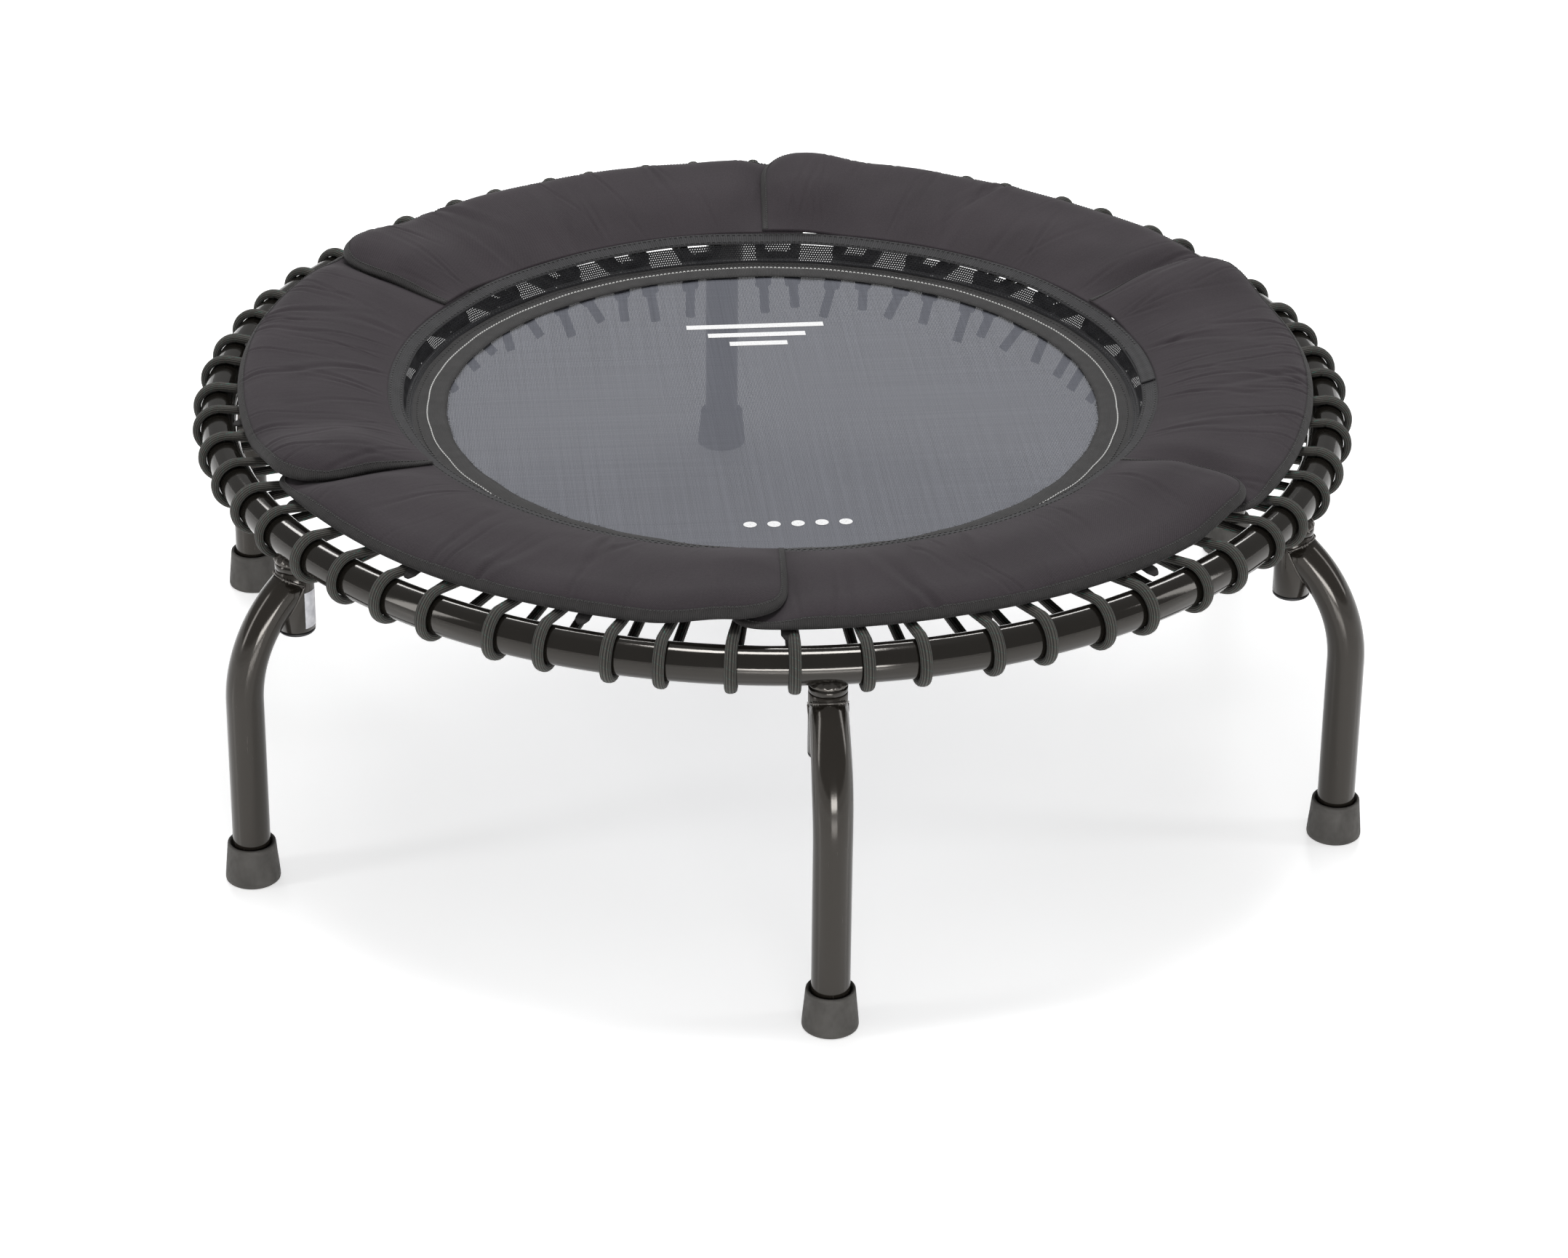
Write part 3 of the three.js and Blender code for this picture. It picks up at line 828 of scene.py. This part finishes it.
def build_hem():
    turns = full_turn(600)
    wobble = waves(turns, (3, 7, 12), 0.0001, 0.0004) + scallop(turns, 0.0007)
    lift = waves(turns, (5, 11, 30), 0.0001, 0.0003)
    hem = tape_ring((HEM_INNER, HEM_TOP - 0.001), (HEM_OUTER, HEM_TOP - 0.001), 0.0021, turns, wobble, lift)
    made = lean(piece("hem_band", [hem], HEM))
    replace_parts(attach(made, "jumping_mat"), "mat_webbing")
    close = np.linspace(0, 2 * math.pi, 2400)
    rise = np.interp(close, turns, lift, period=2 * math.pi)
    drift = waves(close, (4, 9, 16), 0.0001, 0.0004) + scallop(close, 0.0008)
    line = ring_line(WHITE_STITCH + drift, HEM_TOP + 0.0002 + rise, close)
    white = stitches(line, (0, 0, 1), 0.0037, 0.60, 0.00050)
    made = lean(piece("hem_white_stitch", white, WHITE_THREAD))
    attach(made, "jumping_mat")
    rows = frayed_edge(turns, HEM_INNER + wobble)
    for radius in BLACK_STITCHES:
        drift = waves(close, (5, 8, 13), 0.0001, 0.0003)
        rows += stitches(ring_line(radius + drift, HEM_TOP + 0.0001 + rise, close), (0, 0, 1), 0.0045)
    made = lean(piece("hem_black_stitch", rows, BLACK_THREAD))
    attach(made, "jumping_mat")


def build_cord_loops():
    """Webbing loops under the hem, each round the middle of one cord."""
    turn = np.radians(np.linspace(-118, 130, 22))
    bend = np.stack([LOOP_OFFSET + LOOP_RADIUS * np.cos(turn), 0 * turn,
                     LOOP_HEIGHT + LOOP_RADIUS * np.sin(turn)], 1)
    lower = [(0.3050, 0, 0.2938), (0.3130, 0, 0.2936), (0.3200, 0, 0.2932)]
    upper = [(0.3226, 0, 0.2996), (0.3200, 0, 0.2975), (0.3170, 0, 0.2963)]
    path = smooth_path(np.vstack([lower, bend, upper]), 2)
    loop = sweep(path, (0, 1, 0), 0.0080, 0.0007, sides=16, square=0.5)
    for i in range(CORDS):
        made = lean(piece(f"hem_loop_{i + 1:02d}", [turned_about_z(loop, cord_angle(i))], STRAP))
        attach(made, "jumping_mat")


def build_skirt():
    turns = full_turn(720)
    ruffle = waves(turns, (23, 37, 58, 91), 0.0002, 0.0005)
    share = np.linspace(0, 1, 7)
    radius = SKIRT_FOOT + SKIRT_SPREAD * share + ruffle[:, None] * np.sin(math.pi * share)
    height = HEM_TOP + 0.0003 + (SKIRT_TOP - HEM_TOP - 0.0003) * share
    radius = np.hstack([np.ones((len(turns), 1)) * np.array(SKIRT_HEM), radius])
    height = np.concatenate([[HEM_TOP + 0.0006, HEM_TOP + 0.0006], height])
    points = np.stack([np.cos(turns)[:, None] * radius, np.sin(turns)[:, None] * radius,
                       np.ones(len(turns))[:, None] * height], -1)
    size = (2 * math.pi * HEM_OUTER, SKIRT_TOP - HEM_TOP + 0.007)
    made = lean(piece("net_skirt", [grid_part(points, loop_u=True, size=size)], SKIRT, closed=False))
    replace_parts(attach(made, "jumping_mat"), "mesh_skirt")


def build_band():
    turns = full_turn(480)
    wobble = waves(turns, (6, 12, 17, 31), 0.0001, 0.0003)
    lift = waves(turns, (6, 12, 19), 0.0001, 0.0004)
    parts = [tape_ring(BAND_INNER, BAND_OUTER, 0.0019, turns, wobble, lift)]
    close = np.linspace(0, 2 * math.pi, 1440)
    rise = np.interp(close, turns, lift, period=2 * math.pi)
    push = np.interp(close, turns, wobble, period=2 * math.pi)
    inner, outer = np.array(BAND_INNER), np.array(BAND_OUTER)
    up = np.array([-(outer - inner)[1], (outer - inner)[0]]) / np.hypot(*(outer - inner))
    normal = np.stack([np.cos(close) * up[0], np.sin(close) * up[0], np.full(close.shape, up[1])], 1)
    for share in (0.16, 0.80):
        spot = inner + (outer - inner) * share + up * 0.0010
        parts += stitches(ring_line(spot[0] + push, spot[1] + rise, close), normal, 0.0050, material=1)
    parts.append(lap_join(math.radians(-4), math.radians(9), turns, lift))
    made = lean(piece("pad_band_webbing", parts, BAND, BLACK_THREAD))
    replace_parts(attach(made, "jumping_mat"), "pad_band")


def lap_join(start, end, turns, lift):
    """The second layer where the ends of the band lap over each other."""
    spot = np.linspace(start, end, 40)
    rise = np.interp(spot, turns, lift, period=2 * math.pi)
    inner, outer = np.array(BAND_INNER), np.array(BAND_OUTER)
    middle = (inner + outer) / 2
    along = unit(outer - inner)
    path = ring_line(middle[0] - along[1] * 0.0019, middle[1] + along[0] * 0.0019, spot)
    path[:, 2] += rise
    across = np.stack([np.cos(spot) * along[0], np.sin(spot) * along[0], np.full(spot.shape, along[1])], 1)
    return sweep(path, across, 0.0064, 0.0009, sides=20, square=0.3)


def printed(x, y):
    height = mat_height(np.hypot(x, y), np.arctan2(y, x)) + PRINT_LIFT
    return np.stack([x, y, height], -1)


def build_marks():
    """Plain printed marks on the mat: three bars at the back and a row of dots at the front."""
    parts = []
    for k, half in enumerate((0.062, 0.044, 0.026)):
        across = np.linspace(-half, half, 60)
        x, y = np.meshgrid(across, 0.176 - 0.019 * k + np.linspace(-0.0045, 0.0045, 4), indexing="ij")
        points = printed(x, y)
        parts.append(grid_part(points, uv=points[:, :, :2]))
    turn = full_turn(28)
    for k in range(5):
        radius = np.array([0.0003, 0.0020, 0.0040, 0.0056])[:, None]
        points = printed(0.020 * (k - 2) + radius * np.cos(turn), -0.232 + radius * np.sin(turn))
        parts.append(grid_part(points, loop_v=True, uv=points[:, :, :2]))
    made = lean(piece("printed_marks", parts, INK, closed=False))
    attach(made, "jumping_mat")


# ---- padded petals ----

class Petal:
    """The outline, thickness and folds of one petal, from its tucked end to its lapping end."""

    def __init__(self, index):
        self.start = seam_angle(index) - math.radians(PETAL_TUCK)
        self.end = seam_angle(index + 1) + math.radians(PETAL_LAP)
        self.outer = PETAL_OUTER + PETAL_REACH[index]
        count = PETAL_CREASES[index]
        self.folds = np.column_stack([
            dice.uniform(self.start, self.end, count), dice.uniform(0.0003, 0.0014, count),
            np.radians(dice.uniform(0.22, 0.55, count)), dice.uniform(-0.10, 0.10, count),
            dice.choice([-1.0, 1.0], count), dice.uniform(0.3, 0.95, count)])
        spread = self.end - self.start
        strong = np.column_stack([
            self.start + spread * (0.25 + 0.5 * dice.random(3)), dice.uniform(0.0012, 0.0024, 3),
            np.radians(dice.uniform(0.6, 1.3, 3)), dice.uniform(-0.16, 0.16, 3),
            np.array([1.0, 1.0, -1.0]), dice.uniform(0.6, 1.0, 3)])
        self.folds = np.vstack([self.folds, strong])
        self.swell = dice.uniform(0, 2 * math.pi, 6)

    def rim(self, turn):
        """Distance of the outer edge from the centre, with its rounded corners."""
        reach = np.full(np.shape(turn), self.outer)
        for distance, corner in ((turn - self.start, 0.026), (self.end - turn, 0.046)):
            share = np.clip(1 - distance * PETAL_OUTER / corner, 0, 1)
            reach = reach - corner * (1 - np.sqrt(1 - share ** 2))
        middle = np.clip((turn - self.start) / (self.end - self.start), 0, 1)
        return reach + 0.0012 * np.sin(3 * math.pi * middle + self.swell[0]) * np.sin(math.pi * middle)

    def lift(self, turn, radius):
        """How far the lapping end rides up over the next petal."""
        across = np.clip((radius - PETAL_INNER) / (PETAL_OUTER - PETAL_INNER), 0, 1)
        rise = smoothstep(turn, self.end - math.radians(14), self.end - math.radians(5.6))
        return LAP_LIFT * rise * (0.3 + 0.7 * smoothstep(across, 0, 0.5))

    def floor(self, turn, radius):
        across = np.clip((radius - PETAL_INNER) / (PETAL_OUTER - PETAL_INNER), 0, 1)
        return PETAL_FLOOR[0] + (PETAL_FLOOR[1] - PETAL_FLOOR[0]) * across + self.lift(turn, radius)

    def edges(self, turn, radius):
        """1 inside, falling to 0 at every edge in a soft roll. The tucked end stays flat longer."""
        full = 1.0
        tucked = (turn - self.start) * radius - 0.030
        for distance, over, power in ((radius - PETAL_INNER, 0.066, 1.0),
                                      (self.rim(turn) - radius, 0.028, 0.55),
                                      ((self.end - turn) * radius, 0.034, 0.75)):
            full = full * np.sin(math.pi / 2 * np.clip(distance / over, 0, 1)) ** power
        return full * (0.22 + 0.78 * smoothstep(tucked, 0, 0.042))

    def wrinkles(self, turn, radius):
        """Sharp shallow creases that start at the sewn edges, and a slow swell."""
        across = np.clip((radius - PETAL_INNER) / (self.rim(turn) - PETAL_INNER), 0, 1)
        total = 0.0
        for centre, depth, width, slant, side, reach in self.folds:
            from_edge = across if side > 0 else 1 - across
            fade = np.clip(1 - from_edge / reach, 0, 1) ** 0.8
            away = np.abs(turn - centre - slant * (across - 0.5)) / (width * (0.5 + from_edge))
            total = total - depth * fade * (np.exp(-away ** 1.4) - 0.6 * np.exp(-(away - 1.8) ** 2))
        a, b, c, d = self.swell[:4]
        total = total + 0.0007 * np.sin(turn * 9 + across * 3 + a)
        total = total + 0.0005 * np.sin(turn * 21 - across * 4 + b)
        return total + 0.0003 * np.sin(turn * 47 + across * 7 + c) * np.sin(turn * 13 - across * 5 + d)

    def top(self, turn, radius):
        edge = self.edges(turn, radius)
        puff = PETAL_EDGE + (PETAL_CROWN - PETAL_EDGE) * edge
        return self.floor(turn, radius) + puff + self.wrinkles(turn, radius) * np.minimum(edge * 1.6, 1)

    def bottom(self, turn, radius):
        edge = self.edges(turn, radius)
        return self.floor(turn, radius) - 0.0012 * edge * smoothstep(PETAL_OUTER - radius, 0.02, 0.05)


def petal_cushion(petal):
    turns = np.linspace(petal.start, petal.end, 300)
    ease = 0.5 - 0.5 * np.cos(np.linspace(0, math.pi, 46))
    share = 0.5 * ease + 0.5 * np.linspace(0, 1, 46)
    rim = petal.rim(turns)
    radius = PETAL_INNER + (rim - PETAL_INNER)[:, None] * share
    turn = np.broadcast_to(turns[:, None], radius.shape)
    flat = lambda z: np.stack([radius * np.cos(turn), radius * np.sin(turn), z], -1)
    top, bottom = flat(petal.top(turn, radius)), flat(petal.bottom(turn, radius))
    points = np.concatenate([top, bottom[:, ::-1]], 1)
    weave = np.stack([turn * 0.4, radius], -1)
    uv = np.concatenate([weave, weave[:, ::-1]], 1)
    return grid_part(points, loop_v=True, uv=uv, ends=True)


def petal_border(petal):
    """The bound edge: tucked end, outer edge and lapping end, as (turn, radius) points."""
    turns = np.linspace(petal.start, petal.end, 260)
    rim = petal.rim(turns)
    start = np.column_stack([np.full(30, petal.start), np.linspace(PETAL_INNER, rim[0], 31)[:-1]])
    end = np.column_stack([np.full(30, petal.end), np.linspace(rim[-1], PETAL_INNER, 31)[1:]])
    border = np.vstack([start, np.column_stack([turns, rim]), end])
    flat = np.stack([border[:, 1] * np.cos(border[:, 0]), border[:, 1] * np.sin(border[:, 0])], 1)
    along = np.concatenate([[0], np.cumsum(np.linalg.norm(np.diff(flat, axis=0), axis=1))])
    even = np.linspace(0, along[-1], int(along[-1] / 0.0028))
    flat = np.stack([np.interp(even, along, flat[:, k]) for k in range(2)], 1)
    for _ in range(6):
        flat[1:-1] = (flat[:-2] + 2 * flat[1:-1] + flat[2:]) / 4
    ahead = unit(np.gradient(flat, axis=0))
    inward = np.stack([-ahead[:, 1], ahead[:, 0]], 1)
    return flat, inward


def on_petal(petal, flat, top):
    turn = np.arctan2(flat[..., 1], flat[..., 0])
    middle = (petal.start + petal.end) / 2
    turn = middle + (turn - middle + math.pi) % (2 * math.pi) - math.pi
    radius = np.hypot(flat[..., 0], flat[..., 1])
    return petal.top(turn, radius) if top else petal.bottom(turn, radius)


def petal_binding(petal):
    """Tape folded over the bound edge, with a row of stitches along its inner side."""
    flat, inward = petal_border(petal)
    columns = []
    for inset, side in ((TAPE_WIDTH, 1), (0.0042, 1), (0.0028, 1), (0.0012, 1), (0.0, 1), (-0.0009, 0.3),
                        (-0.0009, -0.3), (0.0, -1), (0.0024, -1), (TAPE_WIDTH * 0.8, -1)):
        spot = flat + inward * inset
        base = flat + inward * max(inset, 0.0004)
        top, bottom = on_petal(petal, base, True), on_petal(petal, base, False)
        proud = 0.0005 if abs(side) == 1 else 0.0002
        height = (top + bottom) / 2 + side * ((top - bottom) / 2 + proud)
        columns.append(np.column_stack([spot, height]))
    points = np.stack(columns, 1)
    length = np.linalg.norm(np.diff(flat, axis=0), axis=1).sum()
    parts = [grid_part(points, loop_v=True, size=(length, 0.026), ends=True)]
    line = flat + inward * (TAPE_WIDTH - 0.0010)
    line = np.column_stack([line, on_petal(petal, line, True) + 0.0005])
    parts += stitches(line, (0, 0, 1), 0.0030, 0.55, THREAD * 0.8, material=1)
    return parts


def strap_tabs(petal):
    """Rounded tongues of webbing that peep out below the outer edge, between the cords."""
    parts = []
    for share in STRAP_TABS:
        turn = petal.start + share * (petal.end - petal.start)
        tip = float(petal.rim(np.array([turn]))[0]) + 0.0065
        line = np.array([(tip - 0.030, 0, 0.3206), (tip - 0.016, 0, 0.3210), (tip - 0.008, 0, 0.3205),
                         (tip - 0.003, 0, 0.3192), (tip, 0, 0.3180)])
        line = smooth_path(line, 4)
        taper = np.sqrt(np.clip((line[-1, 0] + 0.0008 - line[:, 0]) / 0.006, 0.05, 1))
        tab = sweep(line, (0, 1, 0), 0.0062 * taper, 0.0008, sides=14, square=0.5)
        parts.append(turned_about_z(tab, turn))
    return parts


def build_petal(index):
    petal = Petal(index)
    name = f"pad_petal_{index + 1}"
    cushion = lean(piece(f"padded_petal_{index + 1}", [petal_cushion(petal)], TWILL))
    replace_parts(cushion, name)
    parts = petal_binding(petal) + strap_tabs(petal)
    binding = lean(piece(f"petal_binding_{index + 1}", parts, TAPE, BLACK_THREAD))
    for made in (cushion, binding):
        bend_by_radius(made)


# ---- stage ----

def build_stage():
    floor = Shader("stage_white", (0.93, 0.93, 0.93), 0.22, **{"Specular IOR Level": 0.5})
    floor.set(floor.bsdf, **{"Emission Color": (1, 1, 1, 1), "Emission Strength": 0.55})
    reach = np.array([0.001, 1.5, 4.0, 14.0, 15.0, 15.6, 15.8])
    rise = np.array([0.0, 0.0, 0.0, 0.0, 0.15, 0.6, 2.4])
    turns = full_turn(64)
    points = np.stack([reach[:, None] * np.cos(turns), reach[:, None] * np.sin(turns),
                       rise[:, None] * np.ones(64)], -1)
    stage = piece("stage_floor", [disc_part(points)], floor.material, closed=False)


def area_light(name, place, aim, size, power):
    data = bpy.data.lights.new(name, "AREA")
    data.shape = "RECTANGLE"
    data.size, data.size_y = size
    data.energy = power
    light = bpy.data.objects.new(name, data)
    light.location = place
    light.rotation_euler = (Vector(aim) - Vector(place)).to_track_quat("-Z", "Y").to_euler()
    light.visible_camera = False
    bpy.context.scene.collection.objects.link(light)


def build_lights():
    area_light("overhead_softbox", (0.0, 0.2, 2.9), (0, 0, 0.3), (0.9, 0.7), 40)
    area_light("back_softbox", (0.0, 3.1, 2.9), (0, 0, 0.3), (3.4, 0.50), 56)
    area_light("left_softbox", (-3.0, -0.9, 1.5), (0, 0, 0.25), (0.5, 1.8), 15)
    area_light("right_softbox", (3.0, -0.6, 1.6), (0, 0, 0.25), (0.5, 1.8), 12)
    area_light("front_strip", (0.15, -4.3, 0.60), (0, 0, 0.3), (2.0, 0.6), 58)
    world = bpy.data.worlds.new("studio")
    world.use_nodes = True
    world.node_tree.nodes["Background"].inputs[0].default_value = (1, 1, 1, 1)
    world.node_tree.nodes["Background"].inputs[1].default_value = 0.36
    bpy.context.scene.world = world


def build_camera():
    data = bpy.data.cameras.new("camera")
    data.sensor_width = 36.0
    data.lens = 112.5
    data.shift_x, data.shift_y = 0.0085, -0.0016
    camera = bpy.data.objects.new("camera", data)
    place = Vector((-0.3650, -3.8357, 2.1533))
    aim = Vector((0.0, 0.0, 0.0775))
    look = (aim - place).to_track_quat("-Z", "Y")
    camera.location = place
    camera.rotation_euler = look.to_euler()
    camera.rotation_euler.rotate_axis("Z", math.radians(0.5))
    bpy.context.scene.collection.objects.link(camera)
    bpy.context.scene.camera = camera


build_camera()
build_lights()
build_stage()
build_ring()
build_legs()
build_feet()
build_sleeve_caps()
build_label()
build_hem()
build_mat()
build_cord_loops()
build_skirt()
build_band()
build_marks()
for number in range(CORDS):
    build_cord(number)
for number in range(PETALS):
    build_petal(number)

bpy.context.scene.view_settings.view_transform = "Standard"
